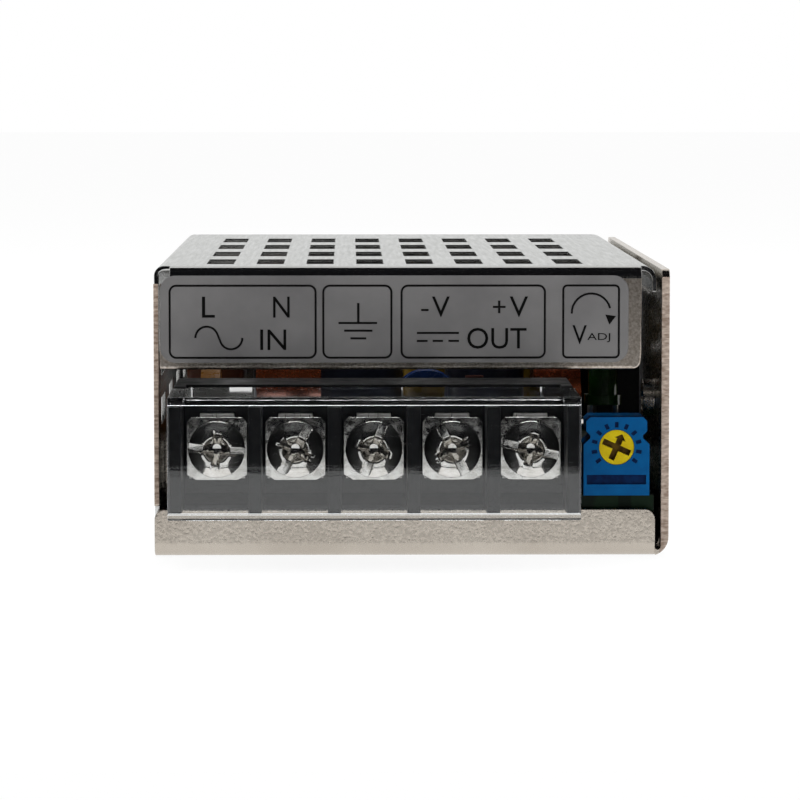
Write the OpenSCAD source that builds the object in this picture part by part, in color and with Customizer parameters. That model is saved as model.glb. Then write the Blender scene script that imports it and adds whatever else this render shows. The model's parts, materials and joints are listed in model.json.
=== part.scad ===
// Enclosed switching power supply: slotted sheet-steel case, front barrier terminals with a
// flip-up clear cover, output trimmer and indicator lamp. Millimetres. X to the right seen from
// the terminals, Y from the terminals to the rear, Z up. The origin is the middle of the base.

/* [Case] */
// Length of the case, front face to rear face
case_l = 79; // [72:0.5:90]
// Distance of the terminal block from the left face of the case
block_inset = 2.05; // [1.8:0.05:3]
// Distance between the terminal block and the trimmer
trimmer_gap = 1.23; // [0.8:0.01:3]
// Distance from the trimmer to the outside of the right wall
trimmer_side = 1.9; // [1.7:0.01:4]
// Free height over the tallest component
head_room = 2.3; // [1.5:0.1:5]

/* [Chassis sheet] */
// Thickness of the chassis sheet
chassis_t = 0.8; // [0.7:0.05:1]
// Outside radius of the bend between base and right wall
wall_bend_r = 1.9; // [1.5:0.1:2.2]
// Outside radius of the bends of the front and rear lips and of the left tabs
lip_bend_r = 1.4; // [1.2:0.1:1.7]
// Gap between the front lip and the terminal block above it
lip_gap = 0.8; // [0.5:0.05:1.5]
// Height of the rear lip
rear_lip_h = 11.5; // [10.6:0.1:12.5]
// How far the right wall stays below the top of the case
wall_drop = 0.3; // [0.1:0.05:0.5]
// Radius of the corners of the chassis walls
chassis_corner_r = 1.0; // [0.6:0.1:1.5]
// Width of the slit between the front lip and the right wall
lip_slit = 0.55; // [0.4:0.05:0.8]
// Width of each left tab
tab_w = 9; // [7:0.5:11]
// Height of each left tab
tab_h = 10.5; // [8:0.5:11]
// Distance of the left tabs from the middle of the case
tab_y = 23.5; // [20:0.5:26]

/* [Mounting holes] */
// Radius of the tapped holes for mounting, M3
tap_r = 1.25; // [1.2:0.05:1.3]
// Wall of the collar drawn up round each tapped hole
collar_wall = 0.65; // [0.5:0.05:0.8]
// Height of the collars inside the sheet
collar_h = 1.2; // [0.9:0.1:1.4]
// Distance between the two tapped holes in the base
base_pitch = 55; // [50:1:58]
// Distance between the two tapped holes in the right wall
side_pitch = 60; // [59:0.5:61]
// Height of the tapped holes in the right wall
side_hole_z = 15; // [14:0.5:16]

/* [Cover sheet] */
// Thickness of the cover sheet
cover_t = 0.5; // [0.4:0.05:0.6]
// Outside radius of the cover bends
cover_bend_r = 1.0; // [0.8:0.1:1.3]
// Gap between the terminal block and the front flange above it
flange_gap = 1.5; // [1:0.1:2.5]
// Distance of the front flange from the outside of the right wall
flange_inset = 2.8; // [2:0.1:3.5]
// Radius of the lower right corner of the front flange
flange_corner_r = 0.9; // [0.5:0.1:1.5]
// Outside radius of the bend between the top and the right skirt
skirt_bend_r = 1.5; // [1:0.1:1.8]
// Height of the right skirt that tucks inside the chassis wall
skirt_h = 2.6; // [2.2:0.1:3.2]
// Gap between the skirt and the chassis wall
skirt_gap = 0.4; // [0.1:0.05:0.5]
// Gap between the rear flange and the base plane
rear_flange_z = 1.6; // [1.4:0.1:2.4]
// How far the corner reliefs reach in from the left face
relief_w = 1.6; // [1.2:0.1:2]
// Depth of the corner reliefs from the front and the rear face
relief_d = 1.0; // [0.8:0.1:1.5]
// Height of the relief in the left corners
relief_h = 1.7; // [1.3:0.1:2.2]
// Length of the round notch in the right edge of the top
notch_l = 8; // [5:0.5:9]
// Depth of that notch
notch_d = 0.9; // [0.5:0.1:1.2]
// Distance of the middle of that notch behind the front face
notch_y = 34; // [25:1:45]

/* [Slots] */
// Width of a ventilation slot
slot_w = 2.7; // [2:0.1:3.2]
// Length of a ventilation slot
slot_l = 10.2; // [8:0.2:11.5]
// Distance between slots side by side
slot_pitch = 5.0; // [4.6:0.1:5.2]
// Distance between slots end to end
slot_row = 17.0; // [15:0.2:17.2]
// Number of slots side by side in the top
top_cols = 8; // [6:1:8]
// Number of slots end to end in the top and the left wall
slot_rows = 4; // [3:1:4]
// Number of slots above each other in the left wall
side_cols = 3; // [2:1:3]
// Distance from the front face to the first slots
slot_front = 5.1; // [4:0.1:6]
// Distance of the first slot's middle from the left face
slot_left = 6.4; // [5:0.1:8]
// Height of the lowest slots' middle in the left wall
side_slot_z = 14; // [12.5:0.5:14.5]
// Height of the lower ends of the rear slots
rear_slot_z = 14; // [13:0.5:15]

/* [Label] */
// Thickness of the label film
label_t = 0.1; // [0.05:0.01:0.15]
// Distance of the label below the top
label_drop = 0.9; // [0.9:0.1:1.4]
// Distance of the label above the lower edge of the flange
label_low = 0.7; // [0.3:0.1:1.5]
// Distance of the label from the left end of the flange
label_side = 0.05; // [0.05:0.05:0.5]
// Distance of the label from the right end of the flange
label_right = 1.3; // [0.8:0.1:2]
// Corner radius of the label
label_r = 1.5; // [0.5:0.1:2]

/* [Board] */
// Thickness of the circuit board
board_t = 1.6; // [1.2:0.1:1.8]
// Height of the spacers under the board
spacer_h = 3.6; // [3.3:0.1:4]
// Outside radius of a spacer
spacer_r = 2.6; // [2.2:0.1:3]
// Gap between the board and the case
board_gap = 0.3; // [0.2:0.05:0.5]
// Distance of the spacers from the side faces of the case
spacer_side = 5.1; // [4.9:0.1:5.6]
// Distance of the front spacers behind the front face
spacer_front = 14.5; // [13:0.1:15]
// Distance of the rear spacers in front of the rear face
spacer_rear = 6; // [5.5:0.1:6.5]
// Radius of a board screw's shank
board_screw_r = 1.2; // [1:0.05:1.2]
// Length of a board screw under its head
board_screw_l = 4.8; // [4:0.1:5]
// Thickness of the insulating sheet on the base
film_t = 0.25; // [0.15:0.05:0.4]
// Gap between the insulating sheet and what passes through it
film_gap = 0.6; // [0.3:0.1:1]

/* [Screws] */
// Radius of an M3 shank
m3_r = 1.5; // [1.45:0.01:1.5]
// Radius of a pan head
pan_r = 2.75; // [2.4:0.05:2.9]
// Height of a pan head
pan_h = 1.8; // [1.4:0.1:2]
// Length of a cover screw under its head
cover_screw_l = 4; // [3:0.5:4.5]
// Height of the cover screws
cover_screw_z = 8.6; // [8.4:0.1:8.8]
// Distance of the cover screws from the middle line
cover_screw_x = 15; // [12:0.5:16]
// Width of the slot in a screw head
drive_w = 0.8; // [0.6:0.05:0.95]
// Length of a cross recess
cross_l = 3.6; // [2.8:0.1:3.8]
// Depth of a cross recess
cross_d = 2.1; // [1.6:0.1:2.2]
// Depth of the slot in a screw head
slot_d = 0.7; // [0.5:0.05:0.8]

/* [Terminal block] */
// Number of terminals
ways = 5; // [3:1:5]
// Distance between terminals
pitch = 7.62; // [7.4:0.02:9]
// Distance from the end of the block to the first screw
block_end = 4.4; // [4.3:0.05:5]
// Thickness of a barrier between terminals
barrier_t = 1.26; // [1:0.02:1.4]
// Thickness of the block's end walls
end_wall_t = 1.15; // [0.9:0.05:1.25]
// How far the barriers stand in front of the case
barrier_out = 12.6; // [12.4:0.1:14]
// How far the contact faces stand in front of the case
floor_out = 5.5; // [5.2:0.1:5.8]
// How far the block reaches behind the front face
block_back = 8.7; // [8:0.1:9.4]
// How far the block reaches below the top of the board, in front of it
block_under = 0.5; // [0.2:0.05:0.7]
// Height of the barriers above the board
barrier_h = 10; // [9.9:0.05:10.1]
// Height of the block above the board, behind the hinge
block_h = 11.1; // [10.9:0.05:11.4]
// Depth of the sloping sill under the contacts
sill_d = 1.5; // [1:0.1:1.7]
// Height of the sill, and of its front face
sill_h = 1.45; // [1.2:0.05:1.6]
// Height of the sill's front face
sill_face = 0.5; // [0.3:0.05:0.8]
// Height of the terminal screws above the board
terminal_h = 5.45; // [5.2:0.05:5.6]

/* [Terminal metal] */
// Gap between a contact plate and the barriers beside it
contact_gap = 0.48; // [0.3:0.02:0.7]
// Thickness of a contact plate
contact_t = 0.6; // [0.5:0.05:0.65]
// Width of a contact's strap and solder pin
strap_w = 3.26; // [2.6:0.02:3.4]
// Height of a contact's strap above the board
strap_h = 8.8; // [8.7:0.05:8.85]
// Length of the solder pins under the board
pin_under = 1.2; // [0.8:0.1:1.6]
// Distance of the solder pins behind the front face
pin_back = 4; // [3.4:0.1:5]
// Gap between a clamp washer and the barriers beside it
washer_gap = 0.23; // [0.15:0.01:0.4]
// Height of a clamp washer
washer_h = 6.1; // [5.8:0.05:6.2]
// Thickness of a clamp washer
washer_t = 0.7; // [0.5:0.05:0.8]
// Width of the straight part of a clamp washer's lower edge
washer_foot = 4.1; // [3.4:0.1:5]
// Running clearance round a terminal screw
thread_gap = 0.05; // [0.02:0.01:0.1]
// Length of a terminal screw under its head
terminal_screw_l = 5.8; // [4.5:0.1:6]

/* [Clear cover] */
// Thickness of the front plate
clear_t = 1.0; // [0.8:0.05:1.1]
// Thickness of the top return
return_t = 0.8; // [0.6:0.05:0.85]
// Gap between the clear cover and the block
clear_gap = 0.1; // [0.08:0.01:0.12]
// How far the clear cover overhangs the block at its ends
clear_over = 0.12; // [0:0.01:0.2]
// How far the front plate reaches below the top of the board
clear_under = 0.8; // [0.4:0.05:1]
// Gap between the barriers and the top return
return_gap = 0.2; // [0.15:0.05:0.3]
// Height of the thicker rim along the lower edge
rim_h = 0.6; // [0.4:0.05:1]
// How far that rim stands in front of the plate
rim_t = 0.25; // [0.1:0.05:0.4]
// How far the hinge line stands in front of the case
hinge_out = 1.6; // [1.55:0.05:1.75]
// Height of the hinge line above the board
hinge_h = 9.9; // [9.85:0.05:9.95]
// Radius of the hinge pins
hinge_pin_r = 0.4; // [0.35:0.01:0.42]
// Running clearance of the hinge pins
hinge_gap = 0.06; // [0.03:0.01:0.09]
// Radius of the hinge barrel
barrel_r = 0.65; // [0.55:0.01:0.68]

/* [Trimmer] */
// Width of the trimmer
trimmer_w = 6.54; // [6.2:0.02:6.8]
// Height of the trimmer
trimmer_h = 7.8; // [7.6:0.1:8.4]
// Depth of the trimmer
trimmer_d = 5.0; // [4.6:0.1:5.6]
// Distance of the trimmer's face behind the front face
trimmer_face = 0.5; // [0.4:0.05:0.8]
// Height of the rotor's middle above the board
rotor_z = 4.8; // [4.6:0.05:4.9]
// Radius of the rotor
rotor_r = 1.72; // [1.6:0.01:1.75]
// Running clearance of the rotor
rotor_gap = 0.05; // [0.02:0.01:0.1]
// Width of the rotor's cross recess
rotor_slot = 0.6; // [0.4:0.01:0.7]
// Length of the rotor's cross recess
rotor_slot_l = 2.94; // [2.6:0.02:3]
// Width of a scale mark
mark_w = 0.36; // [0.2:0.02:0.44]
// Angle of the rotor's pointer from upright, clockwise from the front
rotor_angle = 24; // [0:1:100]
// Inner radius of the scale marks
mark_r0 = 1.97; // [1.95:0.01:2.1]
// Outer radius of the scale marks
mark_r1 = 2.52; // [2.3:0.01:2.7]
// Angle between scale marks
mark_step = 25.3; // [20:0.1:26]

/* [Indicator lamp] */
// Radius of the lamp
lamp_r = 1.5; // [1.3:0.05:1.6]
// Height of the lamp's collar above the board
lamp_z = 8.4; // [7:0.1:10]
// Distance of the lamp from the outside of the right wall
lamp_inset = 6; // [5.6:0.1:6.4]
// Distance of the lamp behind the front face
lamp_back = 9; // [8.4:0.1:9.4]

/* [Large components] */
// Radius of the bulk capacitor
bulk_r = 8; // [7:0.1:8.5]
// Height of the bulk capacitor
bulk_h = 20; // [16:0.5:24]
// Radius of an output capacitor
output_r = 4; // [3.2:0.1:4]
// Height of an output capacitor
output_h = 16; // [12:0.5:18]
// Width of the transformer core
core_w = 22; // [20:0.2:23]
// Height of the transformer core
core_h = 18.8; // [17:0.2:22]
// Thickness of the transformer core
core_t = 5.7; // [5:0.1:5.8]
// Width of a core's outer leg
core_leg = 2.85; // [2.4:0.05:3]
// Depth of the transformer winding
winding_d = 14.6; // [13:0.1:14.8]
// Outside radius of the line choke's winding
choke_r = 6.9; // [6:0.1:6.9]
// Outside radius of the output choke's winding
output_choke_r = 6.2; // [5.4:0.1:6.3]
// Thickness of a choke winding over its core
choke_wire = 0.8; // [0.6:0.05:1]
// Width of a power transistor's body
to220_w = 10; // [9.6:0.1:10.4]
// Thickness of a power transistor's body
to220_t = 4.5; // [4.2:0.1:4.7]
// Thickness of a power transistor's tab
to220_tab = 1.3; // [1.1:0.05:1.4]
// Thickness of an insulating pad
pad_t = 0.3; // [0.2:0.05:0.5]

/* [Hidden] */
$fn = 48;

cut = 1;
// How far a bend laps over the flats it joins
lap = 0.1;

// The board's stack, and the case over what stands on the board
board_z = chassis_t + spacer_h;
board_top = board_z + board_t;
bobbin_foot = 1.2;
transistor_z = board_top + 3;
transistor_body_h = 9.2;
transistor_h = 15.6;
tallest = max(board_top + bulk_h, board_top + bobbin_foot + core_h, transistor_z + transistor_h);
case_h = tallest + head_room + cover_t;

// Across the front: the terminal block, then the trimmer
block_w = (ways - 1) * pitch + 2 * block_end;
case_w = block_inset + block_w + trimmer_gap + trimmer_w + trimmer_side;
left = -case_w / 2;
right = case_w / 2;
front = -case_l / 2;
rear = case_l / 2;

wall_top = case_h - wall_drop;
wall_in = right - chassis_t;
lip_right = wall_in - lip_slit;
lip_rear = rear - cover_t;
base_front = front + lip_bend_r;
base_rear = lip_rear - lip_bend_r;
collar_r = tap_r + collar_wall;
tab_out = left + cover_t;

board_left = tab_out + chassis_t + board_gap;
board_right = wall_in - board_gap * 2;
board_front = front + chassis_t + board_gap;
board_rear = lip_rear - chassis_t - board_gap;
spacer_bore = board_screw_r + 0.05;
spacer_foot = spacer_r - 0.6;
spots = [for (x = [left + spacer_side, right - spacer_side])
    for (y = [front + spacer_front, rear - spacer_rear]) [x, y]];

block_left = left + block_inset;
block_right = block_left + block_w;
block_z = board_top - block_under;
block_top = board_top + block_h;
barrier_top = board_top + barrier_h;
front_lip_h = block_z - lip_gap;
terminal_x = [for (i = [0:ways - 1]) block_left + block_end + i * pitch];
terminal_z = board_top + terminal_h;
screw_turn = [-5, 60, 70, -62, -13];
cell_floor = front - floor_out;
barrier_face = front - barrier_out;
hinge_y = front - hinge_out;
hinge_z = board_top + hinge_h;
ear_r = block_top - hinge_z;
groove_front = hinge_y - barrel_r - 0.4;
groove_back = front + 0.2;
groove_z = hinge_z - barrel_r - 0.1;
plate_face = cell_floor - contact_t;
washer_face = plate_face - washer_t;
contact_w = pitch - barrier_t - 2 * contact_gap;
washer_w = pitch - barrier_t - 2 * washer_gap;
strap_top = board_top + strap_h;
strap_t = 0.8;
strap_gap = 0.05;

clear_left = block_left - clear_over;
clear_right = block_right + clear_over;
clear_in = barrier_face - clear_gap;
clear_out = clear_in - clear_t;
clear_z = board_top - clear_under;
clear_top = barrier_top + return_gap + return_t;
ear_front = hinge_y - ear_r - 0.4;

flange_z = block_top + flange_gap;
flange_h = case_h - flange_z;
flange_left = left + cover_t + 0.1;
flange_right = right - flange_inset;
skirt_right = wall_in - skirt_gap;
label_h = flange_h - label_drop - label_low;
relief_y = max(relief_d, cover_bend_r + lap);

trimmer_x = right - trimmer_side - trimmer_w / 2;
trimmer_y = front + trimmer_face;
rotor_h = board_top + rotor_z;
lamp_x = right - lamp_inset;
lamp_y = front + lamp_back;
trimmer_pin_spots = [[trimmer_x - 2.54, trimmer_y + 2], [trimmer_x, trimmer_y + 4],
    [trimmer_x + 2.54, trimmer_y + 2]];

line_choke_t = 5.0;
output_choke_t = 3.2;
bobbin_wall = 0.8;
bobbin_gap = 0.1;
winding_low = board_top + bobbin_foot + core_leg + bobbin_wall;
winding_high = board_top + bobbin_foot + core_h - core_leg - bobbin_wall;
winding_w = core_w - 2 * core_leg - 0.4;
transistor_hole_z = transistor_z + transistor_h - 2.8;
transistor_back = wall_in - pad_t;
transistor_leg_x = transistor_back - 2.4;
pad_margin = 0.4;

// Places of the components, in rows from the terminal block to the rear
row_gap = 0.6;
first_row = front + block_back + 2;
line_choke_at = [left + 13.1, first_row + choke_r];
disc_at = [left + 27.2, first_row + 1.5];
upright_resistor_at = [left + 32.1, first_row + 2];
output_choke_at = [right - 10.25, first_row + 3 + output_choke_r];
varistor_at = [left + 4.9, front + spacer_front + 7];
film_l = 13;
film_at = [left + 5.1, varistor_at.y + 6 + film_l / 2];
bulk_at = [left + 17, line_choke_at.y + choke_r + row_gap + 3 + bulk_r];
output_caps_at = [for (i = [0, 1]) [right - 17.5, first_row + 6 + output_r + i * (2 * output_r + 1)]];
rectifier_y = output_choke_at.y + output_choke_r + row_gap + to220_w / 2 - 2;
transformer_at = [right - 18, bulk_at.y + bulk_r + row_gap + winding_d / 2];
bridge_l = 14.2;
bridge_at = [left + 3.9, film_at.y + film_l / 2 + 2 + bridge_l / 2];
fuse_l = 9;
fuse_at = [left + 9.6, bulk_at.y + bulk_r + 2 + fuse_l / 2];
switch_y = side_pitch / 2 - collar_r - pad_margin - to220_w / 2 - 0.7;
last_row = transformer_at.y + winding_d / 2 + row_gap;
chip_l = 9.4;
chip_at = [left + 15.5, fuse_at.y + fuse_l / 2 + 1.5];
opto_at = [left + 33, last_row + 2.5];
supply_at = [left + 26, last_row + 3];
flat_resistor_l = 8;
flat_resistors_at = [[left + 21, last_row + 4], [left + 38.5, last_row + 4.2]];

// Draws a shape in X and Z through the stretch from y0 to y1
module along_y(y0, y1) {
    translate([0, y1, 0]) rotate([90, 0, 0]) linear_extrude(y1 - y0) children();
}

// Draws a shape in Y and Z through the stretch from x0 to x1
module along_x(x0, x1) {
    translate([x0, 0, 0]) rotate([90, 0, 90]) linear_extrude(x1 - x0) children();
}

// A box from its lowest to its highest corner
module block(low, high) {
    translate(low) cube(high - low);
}

// A quarter of a bend in a sheet, about the origin, in the quadrant +X +Y
module bend(r, t) {
    difference() {
        translate([-lap, -lap]) square(r + lap);
        difference() {
            square(r + cut);
            circle(r);
        }
        difference() {
            translate([-lap - cut, -lap - cut]) square(r - t + lap + cut);
            difference() {
                square(r - t + cut);
                circle(r - t);
            }
        }
    }
}

// A lip bent up from a sheet: its outside is at 0, the sheet runs on towards +X
module lip_shape(r, t, h) {
    translate([r, r]) rotate(180) bend(r, t);
    translate([0, r]) square([t, h - r]);
}

// The piece that rounds the corner at the origin of a shape in the quadrant +X +Y
module corner(r) {
    difference() {
        translate([-cut, -cut]) square(r + cut);
        translate([r, r]) circle(r);
    }
}

// A rectangle with rounded corners
module rounded(size, r) {
    difference() {
        square(size);
        corner(r);
        translate([size.x, 0]) mirror([1, 0]) corner(r);
        translate([0, size.y]) mirror([0, 1]) corner(r);
        translate(size) mirror([1, 0]) mirror([0, 1]) corner(r);
    }
}

// A pan head with its underside at z = 0, facing +Z
module pan_head(r, h) {
    edge = h * 0.55;
    dome = (r * r + (h - edge) * (h - edge)) / (2 * (h - edge));
    intersection() {
        cylinder(r = r, h = h);
        translate([0, 0, h - dome]) sphere(dome);
    }
}

// The tapered cross recess and the slot through it, for a head h high
module drive(r, h, turn) {
    rotate(turn) {
        translate([-r - cut, -drive_w / 2, h - slot_d]) cube([2 * (r + cut), drive_w, h]);
        intersection() {
            for (a = [0, 90])
                rotate(a) translate([-cross_l / 2, -drive_w / 2, h - cross_d])
                    cube([cross_l, drive_w, cross_d + cut]);
            translate([0, 0, h - cross_d])
                cylinder(r1 = 0.45, r2 = cross_l / 2, h = cross_d + 0.05);
        }
    }
    translate([0, 0, h - cross_d]) cylinder(r1 = 0.3, r2 = 1.35, h = cross_d + 0.05);
}

// A screw with its head on z = 0 and its shank below
module screw(shank_r, length, head_r, head_h, turn) {
    difference() {
        union() {
            pan_head(head_r, head_h);
            translate([0, 0, -length]) cylinder(r = shank_r, h = length + 0.2);
        }
        drive(head_r, head_h, turn);
    }
}

// Turns +Z of a piece to -Y, out of the front
module facing_front() {
    rotate([90, 0, 0]) children();
}

module slots(cols, rows, pitch_x, pitch_y, size_x, size_y) {
    for (i = [0:cols - 1], j = [0:rows - 1])
        translate([i * pitch_x - size_x / 2, j * pitch_y, -cut])
            cube([size_x, size_y, 2 * cut + cover_t]);
}

module chassis() color([0.66, 0.63, 0.59]) {
    difference() {
        union() {
            block([left, base_front, 0], [right - wall_bend_r, base_rear, chassis_t]);
            // right wall and its bend, the full length of the case
            difference() {
                along_y(front, lip_rear) {
                    translate([right - wall_bend_r, wall_bend_r]) rotate(-90)
                        bend(wall_bend_r, chassis_t);
                    translate([wall_in, wall_bend_r])
                        square([chassis_t, wall_top - wall_bend_r]);
                }
                for (y = [[front - cut, base_front], [base_rear, lip_rear + cut]])
                    block([right - wall_bend_r - cut, y[0], -cut], [lip_right, y[1], case_h]);
                along_x(wall_in - cut, right + cut) {
                    translate([front, wall_top]) mirror([0, 1]) corner(chassis_corner_r);
                    translate([lip_rear, wall_top]) mirror([0, 1]) mirror([1, 0])
                        corner(chassis_corner_r);
                }
            }
            // front lip and rear lip
            difference() {
                along_x(left, lip_right) {
                    translate([front, 0]) lip_shape(lip_bend_r, chassis_t, front_lip_h);
                    translate([lip_rear, 0]) mirror([1, 0])
                        lip_shape(lip_bend_r, chassis_t, rear_lip_h);
                }
                along_y(front - cut, front + chassis_t + cut) {
                    translate([left, front_lip_h]) mirror([0, 1]) corner(chassis_corner_r);
                    translate([lip_right, front_lip_h]) mirror([1, 0]) mirror([0, 1])
                        corner(chassis_corner_r);
                }
                along_y(lip_rear - chassis_t - cut, rear) {
                    translate([left + cover_t, rear_lip_h]) mirror([0, 1])
                        corner(chassis_corner_r);
                    translate([lip_right, rear_lip_h]) mirror([1, 0]) mirror([0, 1])
                        corner(chassis_corner_r);
                    // the cover's left wall passes outside the rear lip
                    translate([left - cut, chassis_t]) square([cover_t + cut, case_h]);
                }
            }
            for (y = [-tab_y, tab_y])
                along_y(y - tab_w / 2, y + tab_w / 2) translate([tab_out, 0])
                    lip_shape(lip_bend_r, chassis_t, tab_h);
            // collars of the tapped holes
            for (y = [-base_pitch / 2, base_pitch / 2])
                translate([0, y, 0]) cylinder(r = collar_r, h = chassis_t + collar_h);
            for (y = [-side_pitch / 2, side_pitch / 2])
                translate([wall_in - collar_h, y, side_hole_z]) rotate([0, 90, 0])
                    cylinder(r = collar_r, h = collar_h + chassis_t);
        }
        // relief slit at the foot of the wall, front and rear
        for (y = [[front - cut, base_front + 0.2], [base_rear - 0.2, lip_rear + cut]]) {
            block([lip_right, y[0], chassis_t + 0.17], [wall_in, y[1], wall_bend_r + cut]);
            along_y(y[0], y[1]) translate([lip_right + lip_slit / 2, chassis_t + 0.17])
                circle(lip_slit / 2);
        }
        // the left edge steps in beside each tab
        for (y = [-tab_y, tab_y])
            difference() {
                block([left - cut, y - tab_w / 2 - 0.5, -cut],
                    [tab_out + lip_bend_r, y + tab_w / 2 + 0.5, chassis_t + 0.01]);
                block([left - 2 * cut, y - tab_w / 2, -2 * cut],
                    [tab_out + 2 * lip_bend_r, y + tab_w / 2, case_h]);
            }
        for (y = [-tab_y, tab_y])
            difference() {
                block([left - cut, y - tab_w / 2 - 0.1, -cut],
                    [tab_out + lip_bend_r, y + tab_w / 2 + 0.1, lip_bend_r]);
                along_y(y - tab_w, y + tab_w) translate([tab_out + lip_bend_r, lip_bend_r])
                    circle(lip_bend_r);
            }
        for (y = [-base_pitch / 2, base_pitch / 2])
            translate([0, y, -cut]) cylinder(r = tap_r, h = case_h);
        for (y = [-side_pitch / 2, side_pitch / 2])
            translate([wall_in - collar_h - cut, y, side_hole_z]) rotate([0, 90, 0])
                cylinder(r = tap_r, h = collar_h + chassis_t + 2 * cut);
        for (p = spots)
            translate([p.x, p.y, -cut]) cylinder(r = spacer_foot, h = chassis_t + 2 * cut);
        for (x = [-cover_screw_x, cover_screw_x])
            translate([x, rear + cut, cover_screw_z]) rotate([90, 0, 0])
                cylinder(r = m3_r, h = chassis_t + cover_t + 2 * cut);
        for (y = [switch_y, rectifier_y])
            translate([wall_in - cut, y, transistor_hole_z]) rotate([0, 90, 0])
                cylinder(r = m3_r, h = chassis_t + 2 * cut);
    }
}

module top_cover() color([0.78, 0.78, 0.77]) {
    r = cover_bend_r;
    top_z = case_h - cover_t;
    notch_r = (notch_l * notch_l / 4 + notch_d * notch_d) / (2 * notch_d);
    difference() {
        union() {
            block([left + r, front + r, top_z], [skirt_right - skirt_bend_r, rear - r, case_h]);
            // left wall and right skirt, bent down from the top
            along_y(front, rear) {
                translate([left + r, case_h - r]) rotate(90) bend(r, cover_t);
                translate([left, chassis_t]) square([cover_t, case_h - r - chassis_t]);
            }
            along_y(front + relief_y, rear - relief_y) {
                translate([skirt_right - skirt_bend_r, case_h - skirt_bend_r])
                    bend(skirt_bend_r, cover_t);
                translate([skirt_right - cover_t, case_h - skirt_h])
                    square([cover_t, skirt_h - skirt_bend_r]);
            }
            // front flange
            difference() {
                along_x(flange_left, flange_right) {
                    translate([front + r, case_h - r]) rotate(90) bend(r, cover_t);
                    translate([front, flange_z]) square([cover_t, flange_h - r]);
                }
                along_y(front - cut, front + cover_t + cut)
                    translate([flange_right, flange_z]) mirror([1, 0])
                        corner(flange_corner_r);
            }
            // rear flange, outside the rear lip
            along_x(flange_left, flange_right) {
                translate([rear - r, case_h - r]) bend(r, cover_t);
                translate([rear - cover_t, rear_flange_z])
                    square([cover_t, case_h - r - rear_flange_z]);
            }
        }
        // room for the front lip at the foot of the left wall
        block([left - cut, front - cut, 0],
            [left + cover_t + 0.05, base_front + 0.1, front_lip_h + 0.3]);
        // reliefs in the four corners of the top
        for (y = [[front - cut, front + relief_y], [rear - relief_y, rear + cut]]) {
            block([left - cut, y[0], case_h - relief_h],
                [left + relief_w, y[1], case_h + cut]);
            block([flange_right, y[0], case_h - skirt_h - cut], [right, y[1], case_h + cut]);
        }
        // ventilation slots in the top, the left wall and the rear flange
        translate([left + slot_left, front + slot_front, top_z])
            slots(top_cols, slot_rows, slot_pitch, slot_row, slot_w, slot_l);
        translate([left + cover_t, front + slot_front, side_slot_z]) rotate([0, -90, 0])
            slots(side_cols, slot_rows, slot_pitch, slot_row, slot_w, slot_l);
        translate([left + slot_left, rear, rear_slot_z]) rotate([90, 0, 0])
            slots(top_cols, 1, slot_pitch, slot_row, slot_w, slot_l);
        // round notch in the right edge of the top
        translate([skirt_right - notch_d + notch_r, front + notch_y, case_h - skirt_bend_r - 0.2])
            cylinder(r = notch_r, h = skirt_bend_r + cut);
        for (x = [-cover_screw_x, cover_screw_x])
            translate([x, rear + cut, cover_screw_z]) rotate([90, 0, 0])
                cylinder(r = m3_r + 0.1, h = cover_t + 2 * cut);
    }
}

module front_label() color([0.45, 0.44, 0.44]) {
    label_w = flange_right - label_right - flange_left - label_side;
    translate([flange_left + label_side, 0, case_h - label_drop - label_h])
        along_y(front - label_t, front) rounded([label_w, label_h], label_r);
}

module cover_screws() color([0.7, 0.7, 0.68]) {
    for (x = [-cover_screw_x, cover_screw_x])
        translate([x, rear, cover_screw_z]) rotate([-90, 0, 0])
            screw(m3_r, cover_screw_l, pan_r, pan_h, 30);
}

module insulating_sheet() color([0.9, 0.9, 0.85]) {
    difference() {
        block([left + cover_t + lip_bend_r + 0.6, base_front + 0.2, chassis_t],
            [right - wall_bend_r - 0.2, base_rear - 0.2, chassis_t + film_t]);
        for (p = spots)
            translate([p.x, p.y, 0]) cylinder(r = spacer_r + film_gap, h = board_z);
        for (y = [-base_pitch / 2, base_pitch / 2])
            translate([0, y, 0]) cylinder(r = collar_r + film_gap, h = board_z);
    }
}

module circuit_board() color([0.72, 0.6, 0.35]) {
    difference() {
        block([board_left, board_front, board_z], [board_right, board_rear, board_top]);
        for (p = spots)
            translate([p.x, p.y, 0]) cylinder(r = m3_r, h = case_h);
        for (x = terminal_x)
            block([x - strap_w / 2 - strap_gap, front + pin_back - strap_t - strap_gap, 0],
                [x + strap_w / 2 + strap_gap, front + pin_back + strap_gap, case_h]);
        for (p = trimmer_pin_spots)
            translate([p.x, p.y, 0]) cylinder(r = 0.4, h = case_h);
        for (x = [-1.27, 1.27])
            translate([lamp_x + x, lamp_y, 0]) cylinder(r = 0.4, h = case_h);
        for (y = [switch_y, rectifier_y], i = [-1:1])
            translate([transistor_leg_x, y + i * 2.54, 0]) cylinder(r = 0.6, h = case_h);
    }
}

module board_spacers() color([0.75, 0.75, 0.73]) {
    for (p = spots)
        translate([p.x, p.y, 0])
            difference() {
                union() {
                    cylinder(r = spacer_foot, h = chassis_t + 0.1);
                    translate([0, 0, chassis_t]) cylinder(r = spacer_r, h = spacer_h);
                }
                translate([0, 0, -cut]) cylinder(r = spacer_bore, h = board_top);
            }
}

module board_screws() color([0.75, 0.75, 0.73]) {
    for (p = spots)
        translate([p.x, p.y, board_top])
            screw(board_screw_r, board_screw_l, spacer_r - 0.2, pan_h - 0.3, 20);
}

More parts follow.
